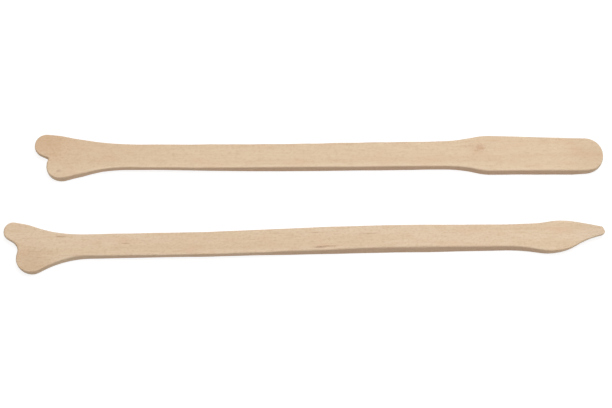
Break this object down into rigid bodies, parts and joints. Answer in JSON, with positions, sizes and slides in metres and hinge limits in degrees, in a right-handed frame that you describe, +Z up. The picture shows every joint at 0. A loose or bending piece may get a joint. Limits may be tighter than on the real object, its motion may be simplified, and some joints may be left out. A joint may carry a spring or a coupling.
{
  "type": "wax applicator stick pair",
  "caption": "Pair of flat birch wax applicator sticks, each with a slanted heart end; one has a round-ended paddle blade and the other a spear blade.",
  "frame": {"origin": "on the table, under the middle of the pair's bounding box", "axes": "+X along the sticks from the heart ends to the blades, +Y from the spear stick to the paddle stick, +Z up off the table"},
  "size_m": [0.1498, 0.0386, 0.002],
  "materials": {
    "birch": "unfinished, tumbled smooth"
  },
  "bodies": {
    "paddle_stick": {"paddle_stick": "birch"},
    "spear_stick": {"spear_stick": "birch"}
  },
  "joints": [
    {"name": "spear_stick_lift", "type": "slide", "parent": "paddle_stick", "child": "spear_stick", "axis": [0, 0, 1], "range_m": [0, 0.1]}
  ]
}
